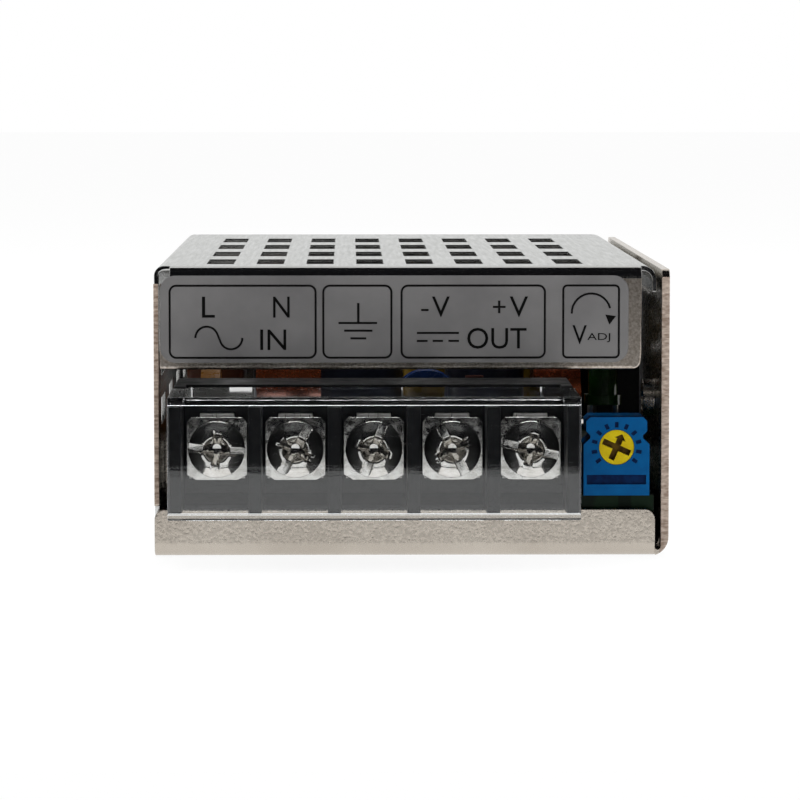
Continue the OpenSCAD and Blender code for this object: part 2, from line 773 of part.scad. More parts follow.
module terminal_housing() color([0.09, 0.09, 0.1]) {
    inner_left = block_left + end_wall_t;
    inner_right = block_right - end_wall_t;
    difference() {
        union() {
            // the body, with its sill under the contacts
            along_x(block_left, block_right)
                polygon([[cell_floor, barrier_top], [cell_floor, block_z + sill_h],
                    [cell_floor - sill_d, block_z + sill_face], [cell_floor - sill_d, block_z],
                    [board_front - 0.1, block_z], [board_front - 0.1, board_top],
                    [front + block_back, board_top], [front + block_back, block_top],
                    [groove_back, block_top], [groove_back, barrier_top]]);
            // end walls with the hinge ears, and the barriers between the terminals
            for (x = [[block_left, inner_left], [inner_right, block_right]])
                along_x(x[0], x[1]) {
                    translate([barrier_face, block_z])
                        square([groove_back - barrier_face, barrier_top - block_z]);
                    translate([hinge_y, hinge_z]) circle(ear_r);
                    translate([hinge_y, barrier_top - ear_r])
                        square([groove_back - hinge_y, block_top - barrier_top + ear_r]);
                }
            for (i = [0:ways - 2])
                block([terminal_x[i] + pitch / 2 - barrier_t / 2, barrier_face, block_z],
                    [terminal_x[i] + pitch / 2 + barrier_t / 2, cell_floor + 0.1, barrier_top]);
        }
        // groove for the hinge barrel, between the ears
        block([inner_left, groove_front, groove_z], [inner_right, groove_back, case_h]);
        // holes for the hinge pins
        for (x = [[block_left - cut, inner_left + cut], [inner_right - cut, block_right + cut]])
            along_x(x[0], x[1]) translate([hinge_y, hinge_z])
                circle(hinge_pin_r + hinge_gap);
        // passages for the contacts' straps and pins, and for the ends of the screws
        for (x = terminal_x) {
            block([x - strap_w / 2 - strap_gap, cell_floor - cut, strap_top - strap_t - strap_gap],
                [x + strap_w / 2 + strap_gap, front + pin_back + strap_gap,
                    strap_top + strap_gap]);
            block([x - strap_w / 2 - strap_gap, front + pin_back - strap_t - strap_gap, 0],
                [x + strap_w / 2 + strap_gap, front + pin_back + strap_gap,
                    strap_top + strap_gap]);
            translate([x, cell_floor - cut, terminal_z]) rotate([-90, 0, 0])
                cylinder(r = m3_r + 0.3, h = terminal_screw_l - washer_t - contact_t + 0.4 + cut);
        }
    }
}

module terminal_cover() color([0.85, 0.88, 0.9, 0.35]) {
    inner_left = block_left + end_wall_t + 0.15;
    inner_right = block_right - end_wall_t - 0.15;
    under = clear_top - return_t;
    // front plate with a rim along its lower edge, and the forward part of the top return
    along_x(clear_left, clear_right)
        polygon([[clear_out - rim_t, clear_z], [clear_in, clear_z], [clear_in, under],
            [ear_front, under], [ear_front, clear_top], [clear_out, clear_top],
            [clear_out, clear_z + rim_h], [clear_out - rim_t, clear_z + rim_h]]);
    // rear part of the return, narrower to pass between the ears, with the hinge barrel
    along_x(inner_left, inner_right) {
        translate([ear_front - 0.2, under]) square([hinge_y - ear_front + 0.2, return_t]);
        translate([hinge_y, hinge_z]) circle(barrel_r);
        translate([hinge_y - barrel_r, hinge_z]) square([barrel_r, under - hinge_z + 0.1]);
    }
    for (x = [[block_left + 0.2, inner_left + 0.1], [inner_right - 0.1, block_right - 0.2]])
        along_x(x[0], x[1]) translate([hinge_y, hinge_z]) circle(hinge_pin_r);
}

module terminal_screw(i) color([0.8, 0.79, 0.76]) {
    translate([terminal_x[i], washer_face, terminal_z]) facing_front()
        screw(m3_r, terminal_screw_l, pan_r, pan_h - 0.2, screw_turn[i]);
}

module clamp_washer(i) color([0.8, 0.79, 0.76]) {
    w = washer_w / 2;
    h = washer_h / 2;
    foot = washer_foot / 2;
    chamfer = 0.45;
    along_y(washer_face, plate_face) translate([terminal_x[i], terminal_z])
        difference() {
            polygon([[-foot, -h], [foot, -h], [w, -h + chamfer], [w, h - chamfer],
                [w - chamfer, h], [chamfer - w, h], [-w, h - chamfer], [-w, -h + chamfer]]);
            circle(m3_r + thread_gap + 0.05);
        }
}

module terminal_contacts() color([0.78, 0.77, 0.73]) {
    bottom = terminal_z - washer_h / 2 + 0.1;
    for (x = terminal_x) {
        difference() {
            union() {
                block([x - contact_w / 2, plate_face, bottom],
                    [x + contact_w / 2, cell_floor, strap_top - strap_t]);
                block([x - strap_w / 2, plate_face, terminal_z],
                    [x + strap_w / 2, cell_floor, strap_top]);
                block([x - strap_w / 2, plate_face, strap_top - strap_t],
                    [x + strap_w / 2, front + pin_back, strap_top]);
                block([x - strap_w / 2, front + pin_back - strap_t, board_z - pin_under],
                    [x + strap_w / 2, front + pin_back, strap_top]);
            }
            translate([x, plate_face - cut, terminal_z]) rotate([-90, 0, 0])
                cylinder(r = m3_r + thread_gap, h = contact_t + 2 * cut);
        }
    }
}

module trimmer_body() color([0.0, 0.42, 0.68]) {
    w = trimmer_w / 2;
    top_w = w - 0.25;
    notch_w = w - 0.65;
    difference() {
        translate([trimmer_x, 0, board_top])
            along_y(trimmer_y, trimmer_y + trimmer_d)
                polygon([[-w, 0], [w, 0], [w, rotor_z + 0.3], [notch_w, rotor_z + 0.9],
                    [notch_w, rotor_z + 1.2], [top_w, rotor_z + 1.6],
                    [top_w, trimmer_h - 0.4], [top_w - 0.4, trimmer_h],
                    [0.4 - top_w, trimmer_h], [-top_w, trimmer_h - 0.4],
                    [-top_w, rotor_z + 1.6], [-notch_w, rotor_z + 1.2],
                    [-notch_w, rotor_z + 0.9], [-w, rotor_z + 0.3]]);
        // seat of the rotor
        translate([trimmer_x, trimmer_y - cut, rotor_h]) rotate([-90, 0, 0])
            cylinder(r = rotor_r + rotor_gap, h = trimmer_d / 2 + cut);
        // scale marks and the plain bar below them
        translate([trimmer_x, trimmer_y, rotor_h]) rotate([90, 0, 0])
            for (i = [-5:5])
                rotate(i * mark_step) translate([-mark_w / 2, mark_r0, -0.12])
                    cube([mark_w, mark_r1 - mark_r0, 0.12 + cut]);
        block([trimmer_x - 2.95, trimmer_y - cut, board_top + 1.1],
            [trimmer_x + 2.95, trimmer_y + 0.3, board_top + 2.05]);
    }
}

module trimmer_rotor() color([0.93, 0.8, 0.08]) {
    arm = rotor_slot_l / 2;
    face = trimmer_y + 0.05;
    translate([trimmer_x, face, rotor_h]) rotate([90, 0, 0])
        difference() {
            translate([0, 0, -(trimmer_d / 2 - 0.05)])
                cylinder(r = rotor_r, h = trimmer_d / 2 - 0.05);
            rotate(-rotor_angle) {
                translate([-arm, -rotor_slot / 2, -0.8])
                    cube([rotor_slot_l, rotor_slot, 0.8 + cut]);
                translate([-rotor_slot / 2, -(arm - 0.14), -0.8])
                    cube([rotor_slot, 2 * arm - 0.7, 0.8 + cut]);
                // arrow head at the end of the upper arm
                translate([0, 0, -0.8]) linear_extrude(0.8 + cut)
                    polygon([[-0.56, arm - 0.62], [0.56, arm - 0.62], [0, arm - 0.04]]);
            }
        }
}

// A solder joint on the underside of the board, round a lead
module solder_joint() {
    translate([0, 0, -0.5]) cylinder(r = 0.8, h = 0.5);
}

module trimmer_pins() color([0.8, 0.8, 0.78]) {
    for (p = trimmer_pin_spots)
        translate([p.x, p.y, board_z]) {
            translate([0, 0, -pin_under]) cylinder(r = 0.3, h = board_t + pin_under);
            solder_joint();
        }
}

module indicator_led() color([0.2, 0.6, 0.25]) {
    translate([lamp_x, lamp_y, board_top + lamp_z]) {
        cylinder(r = lamp_r + 0.4, h = 1);
        cylinder(r = lamp_r, h = 3.7);
        translate([0, 0, 3.7]) sphere(lamp_r);
    }
}

module led_leads() color([0.8, 0.8, 0.78]) {
    for (x = [-1.27, 1.27])
        translate([lamp_x + x, lamp_y, board_z]) {
            translate([0, 0, -pin_under]) cylinder(r = 0.3, h = board_t + pin_under + lamp_z);
            solder_joint();
        }
}

// A flat round component on two legs, its faces towards the front and the rear
module disc_component(r, t, leg) {
    translate([0, t / 2, leg + r]) rotate([90, 0, 0]) cylinder(r = r, h = t);
    for (x = [-r * 0.6, r * 0.6])
        translate([x, 0, 0]) cylinder(r = 0.4, h = leg + r);
}

module disc_capacitor() color([0.1, 0.3, 0.6]) {
    translate([disc_at.x, disc_at.y, board_top]) disc_component(3.5, 3, 4.7);
}

module fuse() color([0.92, 0.92, 0.9]) {
    r = 1.8;
    cap_r = r + 0.3;
    cap_l = 1.8;
    translate([fuse_at.x, fuse_at.y, board_top + cap_r]) {
        translate([0, fuse_l / 2, 0]) rotate([90, 0, 0]) cylinder(r = r, h = fuse_l);
        for (y = [-fuse_l / 2, fuse_l / 2])
            translate([0, y + cap_l / 2, 0]) rotate([90, 0, 0]) cylinder(r = cap_r, h = cap_l);
    }
}

module varistor() color([0.85, 0.6, 0.15]) {
    translate([varistor_at.x, varistor_at.y, board_top]) rotate(90)
        disc_component(5.2, 2, 0.6);
}

// A ring core standing on its edge, its axis along X
module ring_core(r, wire, t) {
    translate([-t / 2, 0, r]) rotate([0, 90, 0])
        difference() {
            cylinder(r = r - wire, h = t);
            translate([0, 0, -cut]) cylinder(r = r / 2, h = t + 2 * cut);
        }
}

// Windings over the upper and the lower half of such a core
module ring_winding(r, wire, t) {
    for (side = [0, 180])
        translate([0, 0, r]) rotate([side, 0, 0]) rotate([0, 90, 0]) rotate(110)
            rotate_extrude(angle = 140)
                difference() {
                    translate([r / 2 - wire, -t / 2 - wire])
                        square([r / 2 + wire, t + 2 * wire]);
                    translate([r / 2, -t / 2]) square([r / 2 - wire, t]);
                }
}

module line_choke_core() color([0.2, 0.22, 0.2]) {
    translate([line_choke_at.x, line_choke_at.y, board_top])
        ring_core(choke_r, choke_wire, line_choke_t);
}

module line_choke_windings() color([0.5, 0.15, 0.08]) {
    translate([line_choke_at.x, line_choke_at.y, board_top])
        ring_winding(choke_r, choke_wire, line_choke_t);
}

module output_choke_core() color([0.75, 0.7, 0.2]) {
    translate([output_choke_at.x, output_choke_at.y, board_top])
        ring_core(output_choke_r, choke_wire, output_choke_t);
}

module output_choke_winding() color([0.5, 0.15, 0.08]) {
    translate([output_choke_at.x, output_choke_at.y, board_top])
        ring_winding(output_choke_r, choke_wire, output_choke_t);
}

module film_capacitor() color([0.85, 0.75, 0.3]) {
    w = 6;
    h = 11.5;
    translate([film_at.x - w / 2, film_at.y - film_l / 2, board_top])
        linear_extrude(h) rounded([w, film_l], 0.6);
}

module bridge_rectifier() color([0.08, 0.08, 0.08]) {
    w = 3.5;
    h = 10.5;
    translate([bridge_at.x - w / 2, bridge_at.y - bridge_l / 2, board_top])
        difference() {
            cube([w, bridge_l, h]);
            translate([-cut, -cut, h]) rotate([-35, 0, 0]) cube([w + 2 * cut, 4, 4]);
        }
}

// A capacitor can with a rolled foot groove and a scored top
module can(r, h) {
    difference() {
        cylinder(r = r, h = h);
        translate([0, 0, 2]) rotate_extrude() translate([r + 0.3, 0]) circle(0.6);
        for (a = [0, 90])
            rotate(a) translate([-r * 0.6, -0.15, h - 0.2]) cube([r * 1.2, 0.3, 1]);
    }
}

module bulk_capacitor() color([0.1, 0.12, 0.16]) {
    translate([bulk_at.x, bulk_at.y, board_top]) can(bulk_r, bulk_h);
}

module output_capacitors() color([0.1, 0.12, 0.16]) {
    for (p = output_caps_at)
        translate([p.x, p.y, board_top]) can(output_r, output_h);
}

module supply_capacitor() color([0.1, 0.12, 0.16]) {
    translate([supply_at.x, supply_at.y, board_top]) can(2.5, 11);
}

module transformer_core() color([0.15, 0.15, 0.16]) {
    translate([transformer_at.x, transformer_at.y, board_top + bobbin_foot])
        along_y(-core_t / 2, core_t / 2)
            difference() {
                translate([-core_w / 2, 0]) square([core_w, core_h]);
                for (side = [0, 1])
                    mirror([side, 0]) translate([core_t / 2, core_leg])
                        square([core_w / 2 - core_leg - core_t / 2, core_h - 2 * core_leg]);
            }
}

module transformer_bobbin() color([0.1, 0.1, 0.1]) {
    tube = core_t / 2 + bobbin_gap + bobbin_wall;
    low = board_top + bobbin_foot + core_leg;
    high = board_top + bobbin_foot + core_h - core_leg;
    translate([transformer_at.x, transformer_at.y, 0])
        difference() {
            union() {
                block([-tube, -tube, low], [tube, tube, high]);
                for (z = [low, high - bobbin_wall])
                    block([-winding_w / 2, -winding_d / 2, z],
                        [winding_w / 2, winding_d / 2, z + bobbin_wall]);
                // feet on both sides of the core
                for (y = [[-winding_d / 2, -core_t / 2 - bobbin_gap],
                    [core_t / 2 + bobbin_gap, winding_d / 2]])
                    block([-winding_w / 2, y[0], board_top], [winding_w / 2, y[1], low + 0.1]);
            }
            block([-core_t / 2 - bobbin_gap, -core_t / 2 - bobbin_gap, 0],
                [core_t / 2 + bobbin_gap, core_t / 2 + bobbin_gap, case_h]);
        }
}

module transformer_winding() color([0.85, 0.75, 0.2]) {
    tube = core_t / 2 + bobbin_gap + bobbin_wall + 0.05;
    w = winding_w - 0.6;
    d = winding_d - 0.6;
    translate([transformer_at.x, transformer_at.y, winding_low])
        linear_extrude(winding_high - winding_low)
            difference() {
                translate([-w / 2, -d / 2]) rounded([w, d], 3);
                translate([-tube, -tube]) square(2 * tube);
            }
}

// A power transistor with its tab towards the right wall
module to220(y) {
    difference() {
        union() {
            block([transistor_back - to220_tab, y - to220_w / 2, transistor_z],
                [transistor_back, y + to220_w / 2, transistor_z + transistor_h]);
            block([transistor_back - to220_t, y - to220_w / 2, transistor_z],
                [transistor_back - to220_tab + 0.1, y + to220_w / 2,
                    transistor_z + transistor_body_h]);
        }
        translate([transistor_back - to220_t, y, transistor_hole_z]) rotate([0, 90, 0])
            cylinder(r = 1.9, h = to220_t + cut);
    }
    for (i = [-1:1])
        translate([transistor_leg_x, y + i * 2.54, board_z - pin_under])
            cylinder(r = 0.4, h = transistor_z - board_z + pin_under + 0.1);
}

module switch_transistor() color([0.1, 0.1, 0.1]) to220(switch_y);

module output_rectifier() color([0.1, 0.1, 0.1]) to220(rectifier_y);

module insulating_pads() color([0.75, 0.75, 0.78]) {
    for (y = [switch_y, rectifier_y])
        difference() {
            block([transistor_back, y - to220_w / 2 - pad_margin, transistor_z - pad_margin],
                [wall_in, y + to220_w / 2 + pad_margin,
                    transistor_z + transistor_h + pad_margin]);
            translate([transistor_back - cut, y, transistor_hole_z]) rotate([0, 90, 0])
                cylinder(r = m3_r + 0.1, h = pad_t + 2 * cut);
        }
}

module transistor_screws() color([0.75, 0.75, 0.73]) {
    length = to220_tab + pad_t + chassis_t;
    for (y = [switch_y, rectifier_y])
        translate([transistor_back - to220_tab, y, transistor_hole_z]) rotate([0, -90, 0])
            screw(m3_r, length, pan_r, pan_h, 10);
}

module control_chip() color([0.08, 0.08, 0.08]) {
    w = 6.4;
    h = 3.4;
    translate([chip_at.x, chip_at.y + chip_l / 2, board_top]) {
        translate([-w / 2, -chip_l / 2, 0.4]) cube([w, chip_l, h]);
        for (x = [-1, 1], i = [0:3])
            translate([x * 3.4 - 0.3, (i - 1.5) * 2.54 - 0.25, 0]) cube([0.6, 0.5, 2.2]);
    }
}

module optocoupler() color([0.92, 0.92, 0.9]) {
    w = 6.4;
    l = 4.6;
    h = 3.4;
    translate([opto_at.x, opto_at.y, board_top]) {
        translate([-w / 2, -l / 2, 0.4]) cube([w, l, h]);
        for (x = [-1, 1], i = [-1, 1])
            translate([x * 3.4 - 0.3, i * 1.27 - 0.25, 0]) cube([0.6, 0.5, 2.2]);
    }
}

module power_resistors() color([0.45, 0.4, 0.35]) {
    translate([upright_resistor_at.x, upright_resistor_at.y, board_top])
        cylinder(r = 0.95, h = 11);
    for (p = flat_resistors_at)
        translate([p.x, p.y - flat_resistor_l / 2, board_top + 1.3]) rotate([-90, 0, 0])
            cylinder(r = 1.3, h = flat_resistor_l);
}

chassis();
top_cover();
front_label();
cover_screws();
insulating_sheet();
circuit_board();
board_spacers();
board_screws();
terminal_housing();
terminal_cover();
terminal_screw(0);  // terminal_screw_1
terminal_screw(1);  // terminal_screw_2
terminal_screw(2);  // terminal_screw_3
terminal_screw(3);  // terminal_screw_4
terminal_screw(4);  // terminal_screw_5
clamp_washer(0);  // clamp_washer_1
clamp_washer(1);  // clamp_washer_2
clamp_washer(2);  // clamp_washer_3
clamp_washer(3);  // clamp_washer_4
clamp_washer(4);  // clamp_washer_5
terminal_contacts();
trimmer_body();
trimmer_rotor();
trimmer_pins();
indicator_led();
led_leads();
disc_capacitor();
fuse();
varistor();
line_choke_core();
line_choke_windings();
film_capacitor();
bridge_rectifier();
bulk_capacitor();
transformer_core();
transformer_bobbin();
transformer_winding();
switch_transistor();
output_rectifier();
insulating_pads();
transistor_screws();
output_capacitors();
output_choke_core();
output_choke_winding();
control_chip();
optocoupler();
supply_capacitor();
power_resistors();
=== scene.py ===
import json
import math

import bpy
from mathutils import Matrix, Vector
from mathutils.bvhtree import BVHTree

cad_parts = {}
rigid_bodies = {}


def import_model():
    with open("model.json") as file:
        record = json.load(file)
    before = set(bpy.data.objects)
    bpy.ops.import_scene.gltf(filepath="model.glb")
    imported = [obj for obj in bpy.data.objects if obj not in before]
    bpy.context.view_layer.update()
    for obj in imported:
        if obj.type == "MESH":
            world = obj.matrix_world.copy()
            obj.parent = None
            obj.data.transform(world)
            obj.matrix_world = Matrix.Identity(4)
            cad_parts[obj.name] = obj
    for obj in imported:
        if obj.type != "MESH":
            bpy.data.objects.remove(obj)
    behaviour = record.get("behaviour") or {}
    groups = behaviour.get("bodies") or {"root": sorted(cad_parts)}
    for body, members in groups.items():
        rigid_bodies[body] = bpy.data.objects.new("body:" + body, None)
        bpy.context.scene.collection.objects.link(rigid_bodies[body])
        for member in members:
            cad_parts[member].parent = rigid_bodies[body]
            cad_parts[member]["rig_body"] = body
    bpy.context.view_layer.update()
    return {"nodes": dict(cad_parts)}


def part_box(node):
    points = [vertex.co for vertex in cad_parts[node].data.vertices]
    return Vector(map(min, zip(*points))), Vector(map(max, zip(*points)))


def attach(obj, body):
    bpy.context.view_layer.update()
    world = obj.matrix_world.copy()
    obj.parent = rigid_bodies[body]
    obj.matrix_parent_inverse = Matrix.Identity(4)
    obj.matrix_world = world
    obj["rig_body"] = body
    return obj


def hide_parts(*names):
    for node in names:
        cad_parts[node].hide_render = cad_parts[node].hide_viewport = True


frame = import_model()

# ---------------------------------------------------------------------------
# Camera: a long lens a little above the supply, square to its terminal end
# and a touch left of its middle line.
# ---------------------------------------------------------------------------
camera_data = bpy.data.cameras.new("camera")
camera_data.lens = 171.7
camera_data.sensor_width = 36.0
camera_data.clip_start = 0.02
camera = bpy.data.objects.new("camera", camera_data)
bpy.context.scene.collection.objects.link(camera)
camera.location = (-0.0064, -0.4155, 0.0472)
camera.rotation_euler = Vector((0.0139, 1.0, -0.0841)).to_track_quat("-Z", "Y").to_euler()
bpy.context.scene.camera = camera
bpy.context.scene.view_settings.view_transform = "Standard"


# ---------------------------------------------------------------------------
# Studio: a pale table under a white backdrop, two soft lamps at the sides
# and one above, and a dark card in front that only gloss and clear plastic see.
# ---------------------------------------------------------------------------
def seen_directly(tree):
    """1 where a ray shows the surface itself: to the camera, in gloss or through clear plastic."""
    path = tree.nodes.new("ShaderNodeLightPath")
    total = None
    for ray in ("Is Camera Ray", "Is Glossy Ray", "Is Transmission Ray"):
        if total is None:
            total = path.outputs[ray]
            continue
        add = tree.nodes.new("ShaderNodeMath")
        add.operation = "MAXIMUM"
        tree.links.new(total, add.inputs[0])
        tree.links.new(path.outputs[ray], add.inputs[1])
        total = add.outputs[0]
    return total


world = bpy.data.worlds.new("studio")
bpy.context.scene.world = world
world.use_nodes = True
tree = world.node_tree
fill = tree.nodes["Background"]
fill.inputs["Color"].default_value = (1, 1, 1, 1)
fill.inputs["Strength"].default_value = 0.5
backdrop = tree.nodes.new("ShaderNodeBackground")
backdrop.inputs["Color"].default_value = (1, 1, 1, 1)
backdrop.inputs["Strength"].default_value = 1.0
choose = tree.nodes.new("ShaderNodeMixShader")
tree.links.new(seen_directly(tree), choose.inputs[0])
tree.links.new(fill.outputs[0], choose.inputs[1])
tree.links.new(backdrop.outputs[0], choose.inputs[2])
tree.links.new(choose.outputs[0], tree.nodes["World Output"].inputs["Surface"])

bpy.ops.object.select_all(action="DESELECT")
bpy.ops.mesh.primitive_plane_add(size=6.0)
table = bpy.context.object
table.name = "table"
material = bpy.data.materials.new("table_white")
material.use_nodes = True
tree = material.node_tree
shader = tree.nodes["Principled BSDF"]
shader.inputs["Base Color"].default_value = (0.8, 0.8, 0.8, 1)
shader.inputs["Roughness"].default_value = 0.9
glow = tree.nodes.new("ShaderNodeEmission")
glow.inputs["Strength"].default_value = 1.06
mix = tree.nodes.new("ShaderNodeMixShader")
share = tree.nodes.new("ShaderNodeMath")
share.operation = "MULTIPLY"
share.inputs[1].default_value = 0.86
tree.links.new(seen_directly(tree), share.inputs[0])
tree.links.new(share.outputs[0], mix.inputs[0])
tree.links.new(shader.outputs[0], mix.inputs[1])
tree.links.new(glow.outputs[0], mix.inputs[2])
tree.links.new(mix.outputs[0], tree.nodes["Material Output"].inputs["Surface"])
table.data.materials.append(material)

card_finish = bpy.data.materials.new("card_black")
card_finish.use_nodes = True
shader = card_finish.node_tree.nodes["Principled BSDF"]
shader.inputs["Base Color"].default_value = (0.006, 0.006, 0.007, 1)
shader.inputs["Roughness"].default_value = 1.0
shader.inputs["Specular IOR Level"].default_value = 0.0
card_y = -0.157
for name, centre, size, turn in (
    ("card_front", (0, card_y, 0.31), (1.6, 0.62), (math.pi / 2, 0, 0)),
    ("card_above", (0, card_y + 0.20, 0.62), (1.6, 0.40), (0, 0, 0)),
):
    bpy.ops.mesh.primitive_plane_add(size=1.0, location=centre, rotation=turn)
    card = bpy.context.object
    card.name = name
    card.scale = (size[0], size[1], 1)
    card.data.materials.append(card_finish)
    card.visible_camera = False
    card.visible_diffuse = False

for name, place, size, power, aim in (
    ("lamp_above", (0.0, 0.12, 0.55), 0.35, 2.2, (0, 0, 0)),
    ("lamp_left", (-0.5, -0.10, 0.30), 0.4, 2.4, (0, 0, 0.01)),
    ("lamp_right", (0.5, -0.10, 0.30), 0.4, 2.4, (0, 0, 0.01)),
):
    lamp_data = bpy.data.lights.new(name, "AREA")
    lamp_data.size = size
    lamp_data.energy = power
    lamp = bpy.data.objects.new(name, lamp_data)
    bpy.context.scene.collection.objects.link(lamp)
    lamp.location = place
    lamp.rotation_euler = (Vector(aim) - Vector(place)).to_track_quat("-Z", "Y").to_euler()
    lamp.visible_glossy = False


# ---------------------------------------------------------------------------
# Chassis: one blank of nickel plated sheet steel, punched and folded. The base,
# the right wall and both lips show a fine satin grain; the sheared edges are
# browner and ribbed across the sheet.
# ---------------------------------------------------------------------------
def finish(name, colour, roughness, metallic=0.0, specular=0.5):
    """A new material with its shader, and object coordinates to lay a pattern on."""
    made = bpy.data.materials.new(name)
    made.use_nodes = True
    nodes = made.node_tree
    principled = nodes.nodes["Principled BSDF"]
    principled.inputs["Base Color"].default_value = (*colour, 1)
    principled.inputs["Roughness"].default_value = roughness
    principled.inputs["Metallic"].default_value = metallic
    principled.inputs["Specular IOR Level"].default_value = specular
    return made, nodes, principled, nodes.nodes.new("ShaderNodeTexCoord").outputs["Object"]


def noise(nodes, coords, size, detail=3.0, stretch=(1, 1, 1)):
    """A cloudy pattern whose spots are about size metres across, longer along a stretch below 1."""
    place = nodes.nodes.new("ShaderNodeMapping")
    place.inputs["Scale"].default_value = [s / size for s in stretch]
    nodes.links.new(coords, place.inputs["Vector"])
    cloud = nodes.nodes.new("ShaderNodeTexNoise")
    cloud.inputs["Scale"].default_value = 1.0
    cloud.inputs["Detail"].default_value = detail
    nodes.links.new(place.outputs[0], cloud.inputs["Vector"])
    return cloud.outputs["Fac"]


def spread(nodes, factor, low, high, socket=None, start=0.3, end=0.7):
    """Carries a pattern over to the values low to high."""
    place = nodes.nodes.new("ShaderNodeMapRange")
    place.inputs["From Min"].default_value = start
    place.inputs["From Max"].default_value = end
    place.inputs["To Min"].default_value = low
    place.inputs["To Max"].default_value = high
    nodes.links.new(factor, place.inputs["Value"])
    if socket:
        nodes.links.new(place.outputs[0], socket)
    return place.outputs[0]


def tint(nodes, factor, low, high, socket=None, start=0.35, end=0.65):
    """Colours a pattern from low to high."""
    ramp = nodes.nodes.new("ShaderNodeValToRGB")
    ramp.color_ramp.elements[0].position = start
    ramp.color_ramp.elements[0].color = (*low, 1)
    ramp.color_ramp.elements[1].position = end
    ramp.color_ramp.elements[1].color = (*high, 1)
    nodes.links.new(factor, ramp.inputs[0])
    if socket:
        nodes.links.new(ramp.outputs[0], socket)
    return ramp.outputs[0]


def over(nodes, mask, below, above, socket=None):
    """Lays one colour over another where the mask is 1."""
    both = nodes.nodes.new("ShaderNodeMix")
    both.data_type = "RGBA"
    nodes.links.new(mask, both.inputs["Factor"])
    for colour, colour_input in ((below, both.inputs[6]), (above, both.inputs[7])):
        if isinstance(colour, tuple):
            colour_input.default_value = (*colour, 1)
        else:
            nodes.links.new(colour, colour_input)
    if socket:
        nodes.links.new(both.outputs[2], socket)
    return both.outputs[2]


def math_node(nodes, kind, *values):
    """One step of arithmetic on sockets and numbers."""
    step = nodes.nodes.new("ShaderNodeMath")
    step.operation = kind
    for i, value in enumerate(values):
        if isinstance(value, (int, float)):
            step.inputs[i].default_value = value
        else:
            nodes.links.new(value, step.inputs[i])
    return step.outputs[0]


def within(nodes, coords, axis, low, high):
    """1 where a point lies between low and high along the axis."""
    apart = nodes.nodes.new("ShaderNodeSeparateXYZ")
    nodes.links.new(coords, apart.inputs[0])
    return math_node(nodes, "COMPARE", apart.outputs[axis], (low + high) / 2, (high - low) / 2)


def relief(nodes, height, depth, principled, strength=1.0, below=None):
    """Raises a pattern by depth metres on the surface."""
    bump = nodes.nodes.new("ShaderNodeBump")
    bump.inputs["Distance"].default_value = depth
    bump.inputs["Strength"].default_value = strength
    nodes.links.new(height, bump.inputs["Height"])
    if below:
        nodes.links.new(below, bump.inputs["Normal"])
    nodes.links.new(bump.outputs[0], principled.inputs["Normal"])
    return bump.outputs[0]


def dress(node, material):
    """Gives a CAD node its finish."""
    for material_slot in frame["nodes"][node].material_slots:
        material_slot.material = material


def eased(node, radius, material, steps=2, flat=0.5, roll=0.0, rolled=None):
    """A copy of a CAD node with its sharp edges rounded over, which stands for the node.

    Edges whose two ends are rolled get the wider round roll first. The copy stays in the
    node's own box, and its flat faces keep their own normals.
    """
    source = frame["nodes"][node]
    least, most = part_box(node)
    piece = bpy.data.objects.new(f"{node}_eased", source.data.copy())
    bpy.context.scene.collection.objects.link(piece)
    bpy.ops.object.select_all(action="DESELECT")
    piece.select_set(True)
    bpy.context.view_layer.objects.active = piece
    bpy.ops.object.mode_set(mode="EDIT")
    bpy.ops.mesh.select_all(action="SELECT")
    bpy.ops.mesh.remove_doubles(threshold=1e-6)
    bpy.ops.mesh.dissolve_limited(angle_limit=math.radians(flat))
    bpy.ops.mesh.select_all(action="DESELECT")
    bpy.ops.mesh.select_mode(type="EDGE")
    bpy.ops.object.mode_set(mode="OBJECT")
    if rolled:
        corners = piece.data.vertices
        for line in piece.data.edges:
            line.select = all(rolled(corners[i].co) for i in line.vertices)
        bpy.ops.object.mode_set(mode="EDIT")
        bpy.ops.mesh.bevel(offset=roll, segments=4, affect="EDGES", clamp_overlap=True)
        bpy.ops.object.mode_set(mode="OBJECT")
    ease = piece.modifiers.new("ease", "BEVEL")
    ease.limit_method = "ANGLE"
    ease.angle_limit = math.radians(38)
    ease.width = radius
    ease.segments = steps
    ease.use_clamp_overlap = False
    bpy.ops.object.modifier_apply(modifier="ease")
    skin_of_source = BVHTree.FromPolygons([v.co for v in source.data.vertices],
                                          [p.vertices for p in source.data.polygons])
    for v in piece.data.vertices:
        nearest, _, _, gap = skin_of_source.find_nearest(v.co)
        if gap > radius * 0.6:
            v.co = nearest
        v.co = [min(max(v.co[i], least[i]), most[i]) for i in range(3)]
    bpy.ops.object.shade_smooth_by_angle(angle=math.radians(50))
    even = piece.modifiers.new("even", "WEIGHTED_NORMAL")
    even.mode = "FACE_AREA"
    even.weight = 100
    even.keep_sharp = True
    bpy.ops.object.modifier_apply(modifier="even")
    piece.data.materials.clear()
    piece.data.materials.append(material)
    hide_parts(node)
    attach(piece, source["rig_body"])
    return piece


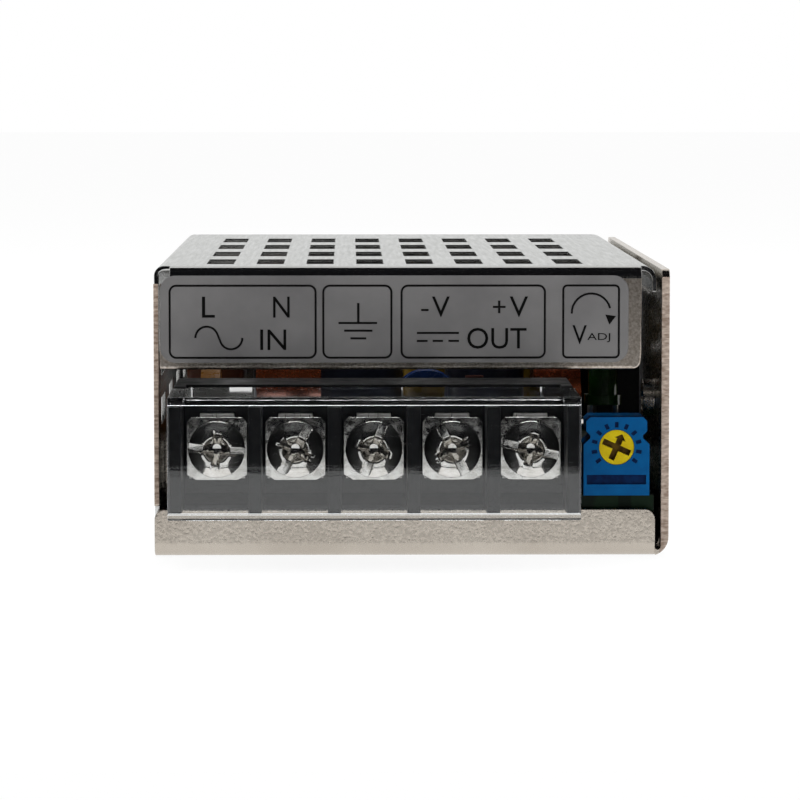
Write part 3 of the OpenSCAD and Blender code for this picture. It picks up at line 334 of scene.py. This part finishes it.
low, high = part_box("chassis")
edge_depth = 0.00003
edge_metal_loss = 0.75
edge_roughness = 0.6
nickel, nodes, shader, coords = finish("nickel_satin", (0.54, 0.49, 0.43), 0.3, 1.0)
patches = noise(nodes, coords, 0.009, 3)
plate = tint(nodes, patches, (0.51, 0.46, 0.40), (0.58, 0.53, 0.465))
edge = math_node(
    nodes, "MULTIPLY",
    within(nodes, coords, "X", high.x - 0.0009, high.x + 0.001),
    within(nodes, coords, "Y", low.y - 0.001, low.y + edge_depth),
)
ribs = noise(nodes, coords, 0.00020, 1, (0.3, 1, 1))
over(nodes, edge, plate, tint(nodes, ribs, (0.36, 0.26, 0.20), (0.74, 0.62, 0.53), None, 0.3, 0.7),
     shader.inputs["Base Color"])
nodes.links.new(math_node(nodes, "SUBTRACT", 1.0, math_node(nodes, "MULTIPLY", edge, edge_metal_loss)),
                shader.inputs["Metallic"])
peel = noise(nodes, coords, 0.0003, 3)
rough = math_node(nodes, "MAXIMUM", spread(nodes, peel, 0.2, 0.34),
                  math_node(nodes, "MULTIPLY", edge, edge_roughness))
nodes.links.new(rough, shader.inputs["Roughness"])
relief(nodes, math_node(nodes, "ADD", peel, math_node(nodes, "MULTIPLY", edge, ribs)),
       0.00003, shader, 0.8)
eased("chassis", 0.00008, nickel)

# ---------------------------------------------------------------------------
# Cover: thinner plated sheet, punched with the slots and folded. It is cleaner
# and greyer than the chassis, with rolling lines along the case.
# ---------------------------------------------------------------------------
low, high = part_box("top_cover")
cover_steel, nodes, shader, coords = finish("cover_plate", (0.62, 0.62, 0.61), 0.28, 1.0)
shader.inputs["Specular Tint"].default_value = (0.62, 0.63, 0.62, 1)
patches = noise(nodes, coords, 0.02, 3)
plate = tint(nodes, patches, (0.60, 0.60, 0.585), (0.66, 0.66, 0.65))
edge = math_node(
    nodes, "MULTIPLY",
    within(nodes, coords, "X", low.x - 0.001, low.x + 0.00052),
    within(nodes, coords, "Y", low.y - 0.001, low.y + edge_depth),
)
ribs = noise(nodes, coords, 0.00020, 1, (0.3, 1, 1))
plate = over(nodes, edge, plate, tint(nodes, ribs, (0.30, 0.21, 0.16), (0.66, 0.54, 0.45), None, 0.3, 0.7))
flange = math_node(
    nodes, "MULTIPLY",
    within(nodes, coords, "Y", low.y - 0.001, low.y + 0.0004),
    within(nodes, coords, "Z", 0.0, high.z - 0.0012),
)
flange = math_node(nodes, "SUBTRACT", flange, math_node(nodes, "MULTIPLY", flange, edge))
grain = noise(nodes, coords, 0.00022, 2)
over(nodes, flange, plate, tint(nodes, grain, (0.42, 0.36, 0.30), (0.66, 0.60, 0.54)),
     shader.inputs["Base Color"])
nodes.links.new(math_node(nodes, "SUBTRACT", 1.0, math_node(nodes, "MULTIPLY", edge, edge_metal_loss)),
                shader.inputs["Metallic"])
lines = noise(nodes, coords, 0.0004, 3, (1, 0.05, 1))
peel = noise(nodes, coords, 0.0003, 3)
rough = math_node(nodes, "ADD", spread(nodes, lines, 0.14, 0.22),
                  math_node(nodes, "MULTIPLY", flange, 0.16))
rough = math_node(nodes, "MAXIMUM", rough, math_node(nodes, "MULTIPLY", edge, edge_roughness))
nodes.links.new(rough, shader.inputs["Roughness"])
relief(nodes, math_node(nodes, "ADD", peel, math_node(nodes, "MULTIPLY", lines, 0.4)),
       0.000003, shader, 0.4)
label_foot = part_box("front_label")[0].z
eased("top_cover", 0.00008, cover_steel, roll=0.00036,
      rolled=lambda co: co.y < low.y + 0.00001 and co.z < label_foot + 0.0004)

# ---------------------------------------------------------------------------
# Front label: a grey satin film stuck on the flange. The steel under it shows
# through as faint waves. The marks are printed on it in black.
# ---------------------------------------------------------------------------
low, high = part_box("front_label")
label_film, nodes, shader, coords = finish("label_satin", (0.2, 0.195, 0.195), 0.42)
smudges = noise(nodes, coords, 0.006, 4)
tint(nodes, smudges, (0.175, 0.17, 0.172), (0.225, 0.22, 0.22), shader.inputs["Base Color"])
spread(nodes, noise(nodes, coords, 0.0012, 4), 0.36, 0.52, shader.inputs["Roughness"])
waves = math_node(nodes, "ADD", noise(nodes, coords, 0.0022, 2),
                  math_node(nodes, "MULTIPLY", noise(nodes, coords, 0.00025, 2), 0.12))
relief(nodes, waves, 0.00006, shader, 0.5)
dress("front_label", label_film)

ink, nodes, shader, coords = finish("ink_black", (0.003, 0.003, 0.003), 0.6, 0.0, 0.1)
spread(nodes, noise(nodes, coords, 0.0004, 3), 0.42, 0.6, shader.inputs["Roughness"])
relief(nodes, noise(nodes, coords, 0.0003, 2), 0.00001, shader, 0.4)

label_left, label_low, label_face = low.x, low.z, low.y
ink_width = 0.00023
ink_height = 0.00002
mm = 0.001


def printed(points, closed=False, width=ink_width):
    """A printed line through points given in millimetres from the label's lower left corner."""
    line_data = bpy.data.curves.new("line", "CURVE")
    line_data.dimensions = "3D"
    line_data.bevel_depth = width / 2
    line_data.bevel_resolution = 1
    line_data.use_fill_caps = True
    spline = line_data.splines.new("POLY")
    spline.points.add(len(points) - 1)
    for point, (x, z) in zip(spline.points, points):
        point.co = (x * mm, 0, z * mm, 1)
    spline.use_cyclic_u = closed
    line = bpy.data.objects.new("line", line_data)
    bpy.context.scene.collection.objects.link(line)
    return line


def arc(cx, cz, r, start, end, steps):
    """Points round part of a circle, angles in degrees."""
    turns = [math.radians(start + (end - start) * i / steps) for i in range(steps + 1)]
    return [(cx + r * math.cos(t), cz + r * math.sin(t)) for t in turns]


def box_outline(x0, x1, z0, z1, r=0.65):
    """Points round a box with round corners."""
    points = []
    for cx, cz, start in ((x1 - r, z1 - r, 0), (x0 + r, z1 - r, 90),
                          (x0 + r, z0 + r, 180), (x1 - r, z0 + r, 270)):
        points += arc(cx, cz, r, start, start + 90, 6)
    return points


def letters(text, x0, x1, z0, z1):
    """Generic marks in the built-in face, fitted to a box in millimetres."""
    bpy.ops.object.select_all(action="DESELECT")
    bpy.ops.object.text_add(location=(0, 0, 0), rotation=(math.pi / 2, 0, 0))
    mark = bpy.context.object
    mark.data.body = text
    thick = 0.1
    mark.data.extrude = thick / 2
    mark.data.resolution_u = 4
    bpy.ops.object.convert(target="MESH")
    bpy.ops.object.transform_apply(location=True, rotation=True, scale=True)
    co = [v.co for v in mark.data.vertices]
    wide = max(v.x for v in co) - min(v.x for v in co)
    tall = max(v.z for v in co) - min(v.z for v in co)
    start_x, start_z = min(v.x for v in co), min(v.z for v in co)
    mark.scale = ((x1 - x0) * mm / wide, ink_height / thick, (z1 - z0) * mm / tall)
    mark.location = (x0 * mm - start_x * mark.scale.x, -ink_height / 2,
                     z0 * mm - start_z * mark.scale.z)
    bpy.ops.object.transform_apply(location=True, rotation=True, scale=True)
    return mark


lines = [
    printed(box_outline(0.96, 15.35, 0.49, 7.61), True),
    printed(box_outline(16.11, 22.83, 0.49, 7.61), True),
    printed(box_outline(23.83, 37.98, 0.49, 7.61), True),
    printed(box_outline(39.8, 45.3, 0.49, 7.61, 0.4), True),
    # alternating current
    printed(arc(4.6, 2.45, 1.12, 180, 12, 12)[:-1] + arc(7.0, 2.45, 1.12, 192, 360, 12)),
    # protective earth
    printed([(19.56, 3.92), (19.56, 5.89)]),
    printed([(17.6, 3.92), (21.42, 3.92)]),
    printed([(18.16, 3.16), (20.95, 3.16)]),
    printed([(18.78, 2.4), (20.34, 2.4)]),
    # poles
    printed([(25.76, 5.2), (26.5, 5.2)]),
    printed([(32.85, 5.5), (34.1, 5.5)]),
    printed([(33.47, 4.88), (33.47, 6.12)]),
    # direct current
    printed([(25.34, 2.93), (29.5, 2.93)]),
    printed([(25.34, 2.14), (26.4, 2.14)]),
    printed([(26.9, 2.14), (27.92, 2.14)]),
    printed([(28.46, 2.14), (29.5, 2.14)]),
    # turn to adjust
    printed(arc(42.56, 4.9, 1.92, 182, 14, 14)),
]
bpy.ops.object.select_all(action="DESELECT")
for line in lines:
    line.select_set(True)
bpy.context.view_layer.objects.active = lines[0]
bpy.ops.object.convert(target="MESH")
lines = list(bpy.context.selected_objects)
for line in lines:
    for v in line.data.vertices:
        v.co.y = -ink_height / 2 + v.co.y * ink_height / ink_width
marks = [
    letters("L", 4.15, 5.42, 4.46, 6.53), letters("N", 11.16, 12.79, 4.46, 6.53),
    letters("IN", 9.88, 12.44, 1.26, 3.28), letters("V", 26.82, 28.59, 4.51, 6.53),
    letters("V", 34.5, 36.32, 4.51, 6.53), letters("OUT", 30.32, 36.18, 1.36, 3.43),
    letters("V", 40.71, 42.13, 1.8, 3.68), letters("ADJ", 42.18, 44.45, 1.99, 2.9),
]
bpy.ops.object.select_all(action="DESELECT")
bpy.ops.mesh.primitive_circle_add(vertices=3, radius=0.62 * mm, fill_type="NGON",
                                  location=(44.44 * mm, 0, 4.35 * mm),
                                  rotation=(math.pi / 2, math.radians(188), 0))
head = bpy.context.object
bpy.ops.object.transform_apply(location=True, rotation=True, scale=True)
bpy.ops.object.mode_set(mode="EDIT")
bpy.ops.mesh.select_all(action="SELECT")
bpy.ops.mesh.extrude_region_move(TRANSFORM_OT_translate={"value": (0, -ink_height, 0)})
bpy.ops.mesh.select_all(action="SELECT")
bpy.ops.mesh.normals_make_consistent(inside=False)
bpy.ops.object.mode_set(mode="OBJECT")
bpy.ops.object.select_all(action="DESELECT")
for piece in lines + marks + [head]:
    piece.select_set(True)
bpy.context.view_layer.objects.active = lines[0]
bpy.ops.object.join()
label_print = bpy.context.object
label_print.name = "label_print"
label_print.location = (label_left, label_face, label_low)
bpy.ops.object.transform_apply(location=True, rotation=True, scale=True)
label_print.data.materials.clear()
label_print.data.materials.append(ink)
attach(label_print, "case")

# ---------------------------------------------------------------------------
# Plated screws: the cover screws, the board screws, the transistor screws and
# the five captive terminal screws are cold headed steel, nickel plated.
# ---------------------------------------------------------------------------
bright, nodes, shader, coords = finish("screw_plate", (0.72, 0.69, 0.65), 0.12, 1.0)
cloudy = noise(nodes, coords, 0.0011, 4)
tint(nodes, cloudy, (0.66, 0.63, 0.585), (0.78, 0.755, 0.72), shader.inputs["Base Color"])
spread(nodes, noise(nodes, coords, 0.0005, 4), 0.05, 0.16, shader.inputs["Roughness"])
relief(nodes, noise(nodes, coords, 0.0005, 3), 0.000008, shader, 0.5)
for node in ["cover_screws", "board_screws", "transistor_screws"]:
    dress(node, bright)
for i in range(1, 6):
    eased(f"terminal_screw_{i}", 0.00004, bright, 1)
    eased(f"clamp_washer_{i}", 0.00007, bright)

# ---------------------------------------------------------------------------
# Terminal block: one black moulding of glass filled plastic with five cells
# between barriers. Its skin is faintly grained and dusty.
# ---------------------------------------------------------------------------
block_black, nodes, shader, coords = finish("block_black", (0.005, 0.005, 0.0055), 0.5, 0.0, 0.25)
dust = noise(nodes, coords, 0.0008, 5)
tint(nodes, dust, (0.004, 0.004, 0.0045), (0.010, 0.010, 0.0105), shader.inputs["Base Color"], 0.45, 0.8)
spread(nodes, noise(nodes, coords, 0.002, 4), 0.34, 0.55, shader.inputs["Roughness"])
relief(nodes, noise(nodes, coords, 0.00015, 2), 0.000012, shader, 0.5)
eased("terminal_housing", 0.0001, block_black)

contact, nodes, shader, coords = finish("contact_tin", (0.62, 0.60, 0.56), 0.32, 1.0)
drawn = noise(nodes, coords, 0.0003, 3, (1, 1, 0.12))
tint(nodes, noise(nodes, coords, 0.0015, 3), (0.50, 0.48, 0.45), (0.66, 0.64, 0.60),
     shader.inputs["Base Color"])
spread(nodes, drawn, 0.24, 0.42, shader.inputs["Roughness"])
relief(nodes, drawn, 0.00001, shader, 0.5)
for node in ("terminal_contacts", "trimmer_pins", "led_leads"):
    dress(node, contact)

# ---------------------------------------------------------------------------
# Hinged cover: clear moulded polycarbonate with a rim along its lower edge. It
# has a few light scratches. Light for the cells passes straight through it.
# ---------------------------------------------------------------------------
clear, nodes, shader, coords = finish("clear_moulding", (0.93, 0.95, 0.96), 0.03)
shader.inputs["Transmission Weight"].default_value = 1.0
shader.inputs["IOR"].default_value = 1.55
scratches = noise(nodes, coords, 0.0009, 6, (0.25, 1, 2.2))
spread(nodes, scratches, 0.0, 0.22, shader.inputs["Roughness"], 0.62, 0.78)
relief(nodes, scratches, 0.000006, shader, 0.3)
straight = nodes.nodes.new("ShaderNodeBsdfTransparent")
straight.inputs["Color"].default_value = (0.9, 0.92, 0.93, 1)
path = nodes.nodes.new("ShaderNodeLightPath")
both = nodes.nodes.new("ShaderNodeMixShader")
nodes.links.new(path.outputs["Is Shadow Ray"], both.inputs[0])
nodes.links.new(shader.outputs[0], both.inputs[1])
nodes.links.new(straight.outputs[0], both.inputs[2])
nodes.links.new(both.outputs[0], nodes.nodes["Material Output"].inputs["Surface"])
eased("terminal_cover", 0.00014, clear)

# ---------------------------------------------------------------------------
# Trimmer: a blue moulded body with a dark scale round a yellow rotor. The scale
# is moulded in the body. Everything on the body set back from its face is dark navy,
# partly the scale's dark marks and partly painted shade in the other recesses. The
# rotor's sunk cross and arrow, and all of the rotor set back from its face, are
# painted brown as painted shade.
# ---------------------------------------------------------------------------
low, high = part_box("trimmer_body")
trimmer_blue, nodes, shader, coords = finish("trimmer_blue", (0.0, 0.105, 0.33), 0.5, 0.0, 0.08)
# Set-back surfaces of the body are dark navy: partly the scale's own dark marks, partly painted shade in
# the recesses.
sunk_marks_and_shade = within(nodes, coords, "Y", low.y + 0.00006, low.y + 0.002)
over(nodes, sunk_marks_and_shade,
     tint(nodes, noise(nodes, coords, 0.0015, 3), (0.0, 0.10, 0.31), (0.0, 0.125, 0.37)),
     tint(nodes, noise(nodes, coords, 0.0006, 3), (0.0, 0.012, 0.07), (0.0, 0.025, 0.11)),
     shader.inputs["Base Color"])
spread(nodes, noise(nodes, coords, 0.0006, 3), 0.32, 0.46, shader.inputs["Roughness"])
relief(nodes, noise(nodes, coords, 0.0002, 2), 0.000012, shader, 0.4)
dress("trimmer_body", trimmer_blue)

low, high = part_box("trimmer_rotor")
face = low.y
rotor_yellow, nodes, shader, coords = finish("rotor_yellow", (0.82, 0.60, 0.02), 0.45, 0.0, 0.1)
# Surfaces of the rotor set back from its face, the cross and arrow among them, are painted brown as painted
# shade.
sunk_marks_and_shade = within(nodes, coords, "Y", face + 0.00012, face + 0.01)
paint = tint(nodes, noise(nodes, coords, 0.0012, 2), (0.74, 0.54, 0.006), (0.90, 0.70, 0.010))
groove_shade = tint(nodes, noise(nodes, coords, 0.0004, 2), (0.10, 0.055, 0.004), (0.20, 0.11, 0.008))
over(nodes, sunk_marks_and_shade, paint, groove_shade, shader.inputs["Base Color"])
spread(nodes, noise(nodes, coords, 0.0005, 3), 0.28, 0.42, shader.inputs["Roughness"])
relief(nodes, noise(nodes, coords, 0.0002, 2), 0.00001, shader, 0.4)
dress("trimmer_rotor", rotor_yellow)

# ---------------------------------------------------------------------------
# Indicator: a green tinted lamp of cast epoxy behind the trimmer.
# ---------------------------------------------------------------------------
lamp_green, nodes, shader, coords = finish("lamp_green", (0.006, 0.03, 0.004), 0.1)
shader.inputs["Transmission Weight"].default_value = 0.4
tint(nodes, noise(nodes, coords, 0.002, 2), (0.003, 0.014, 0.002), (0.012, 0.05, 0.006),
     shader.inputs["Base Color"])
relief(nodes, noise(nodes, coords, 0.0008, 2), 0.00001, shader, 0.3)
dress("indicator_led", lamp_green)

# ---------------------------------------------------------------------------
# Board: pressed laminate with a green solder mask over copper tracks, on four
# turned spacers above a sheet of insulating film.
# ---------------------------------------------------------------------------
board, nodes, shader, coords = finish("board_laminate", (0.01, 0.03, 0.012), 0.5, 0.0, 0.12)
tracks = nodes.nodes.new("ShaderNodeTexVoronoi")
tracks.feature = "DISTANCE_TO_EDGE"
tracks.distance = "MANHATTAN"
place = nodes.nodes.new("ShaderNodeMapping")
place.inputs["Scale"].default_value = (180, 180, 10)
nodes.links.new(coords, place.inputs["Vector"])
nodes.links.new(place.outputs[0], tracks.inputs["Vector"])
tracks.inputs["Scale"].default_value = 1.0
tint(nodes, tracks.outputs[0], (0.002, 0.009, 0.003), (0.005, 0.022, 0.007),
     shader.inputs["Base Color"], 0.08, 0.10)
spread(nodes, noise(nodes, coords, 0.003, 3), 0.3, 0.5, shader.inputs["Roughness"])
relief(nodes, tracks.outputs[0], 0.00003, shader, 0.4)
dress("circuit_board", board)

film, nodes, shader, coords = finish("insulating_film", (0.55, 0.52, 0.42), 0.35)
tint(nodes, noise(nodes, coords, 0.008, 3), (0.48, 0.45, 0.36), (0.6, 0.57, 0.47),
     shader.inputs["Base Color"])
relief(nodes, noise(nodes, coords, 0.004, 2), 0.00008, shader, 0.4)
dress("insulating_sheet", film)

spacer, nodes, shader, coords = finish("spacer_turned", (0.66, 0.65, 0.63), 0.3, 1.0)
turned = noise(nodes, coords, 0.0002, 2, (0.05, 0.05, 1))
tint(nodes, turned, (0.58, 0.57, 0.55), (0.7, 0.69, 0.67), shader.inputs["Base Color"])
relief(nodes, turned, 0.00001, shader, 0.5)
dress("board_spacers", spacer)


# ---------------------------------------------------------------------------
# Components with plain moulded or dipped skins: each has its own colour, cloudy
# at the scale of the piece, with a fine grain in its gloss.
# ---------------------------------------------------------------------------
def skin(name, colour, roughness, grain, depth, *dressed, shade=0.75, metallic=0.0):
    made, nodes, shader, coords = finish(name, colour, roughness, metallic)
    tint(nodes, noise(nodes, coords, grain * 6, 3), tuple(c * shade for c in colour), colour,
         shader.inputs["Base Color"])
    spread(nodes, noise(nodes, coords, grain * 2, 3), roughness * 0.8, roughness * 1.25,
           shader.inputs["Roughness"])
    relief(nodes, noise(nodes, coords, grain, 2), depth, shader, 0.5)
    for node in dressed:
        dress(node, made)
    return made


skin("disc_blue", (0.010, 0.05, 0.22), 0.25, 0.0004, 0.00002, "disc_capacitor")
skin("varistor_yellow", (0.40, 0.17, 0.02), 0.3, 0.0004, 0.00002, "varistor")
skin("fuse_ceramic", (0.50, 0.46, 0.40), 0.3, 0.0003, 0.00001, "fuse")
skin("ferrite_grey", (0.03, 0.03, 0.033), 0.6, 0.0002, 0.00002, "transformer_core", "line_choke_core")
skin("film_box", (0.09, 0.03, 0.016), 0.35, 0.0003, 0.00001, "film_capacitor")
skin("epoxy_black", (0.015, 0.015, 0.016), 0.5, 0.0002, 0.000015,
     "bridge_rectifier", "switch_transistor", "output_rectifier", "control_chip")
skin("bobbin_black", (0.012, 0.012, 0.012), 0.4, 0.0003, 0.00001, "transformer_bobbin")
skin("winding_tape", (0.40, 0.24, 0.02), 0.28, 0.0006, 0.00003, "transformer_winding")
skin("pad_grey", (0.42, 0.42, 0.44), 0.75, 0.0003, 0.00002, "insulating_pads")
skin("core_yellow", (0.34, 0.22, 0.03), 0.5, 0.0003, 0.00003, "output_choke_core")
skin("opto_white", (0.72, 0.72, 0.68), 0.45, 0.0003, 0.00001, "optocoupler")
skin("resistor_dark", (0.10, 0.03, 0.02), 0.4, 0.0003, 0.00003, "power_resistors")

# ---------------------------------------------------------------------------
# Electrolytic capacitors: aluminium cans in a dark shrunk sleeve that laps over
# the rim. The bare top has a pressed cross.
# ---------------------------------------------------------------------------
for node in ("bulk_capacitor", "output_capacitors", "supply_capacitor"):
    low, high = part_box(node)
    sleeve, nodes, shader, coords = finish(f"{node}_sleeve", (0.02, 0.025, 0.045), 0.3)
    top = within(nodes, coords, "Z", high.z - 0.0007, high.z + 0.001)
    wrap = tint(nodes, noise(nodes, coords, 0.003, 3), (0.015, 0.018, 0.032), (0.03, 0.036, 0.06))
    over(nodes, top, wrap, tint(nodes, noise(nodes, coords, 0.001, 3), (0.5, 0.5, 0.5), (0.62, 0.62, 0.62)),
         shader.inputs["Base Color"])
    nodes.links.new(top, shader.inputs["Metallic"])
    relief(nodes, noise(nodes, coords, 0.0006, 2), 0.00002, shader, 0.4)
    dress(node, sleeve)

# ---------------------------------------------------------------------------
# Choke windings: enamelled copper wire.
# ---------------------------------------------------------------------------
skin("enamelled_copper", (0.42, 0.10, 0.035), 0.25, 0.0003, 0.00004,
     "line_choke_windings", "output_choke_winding", metallic=0.8)
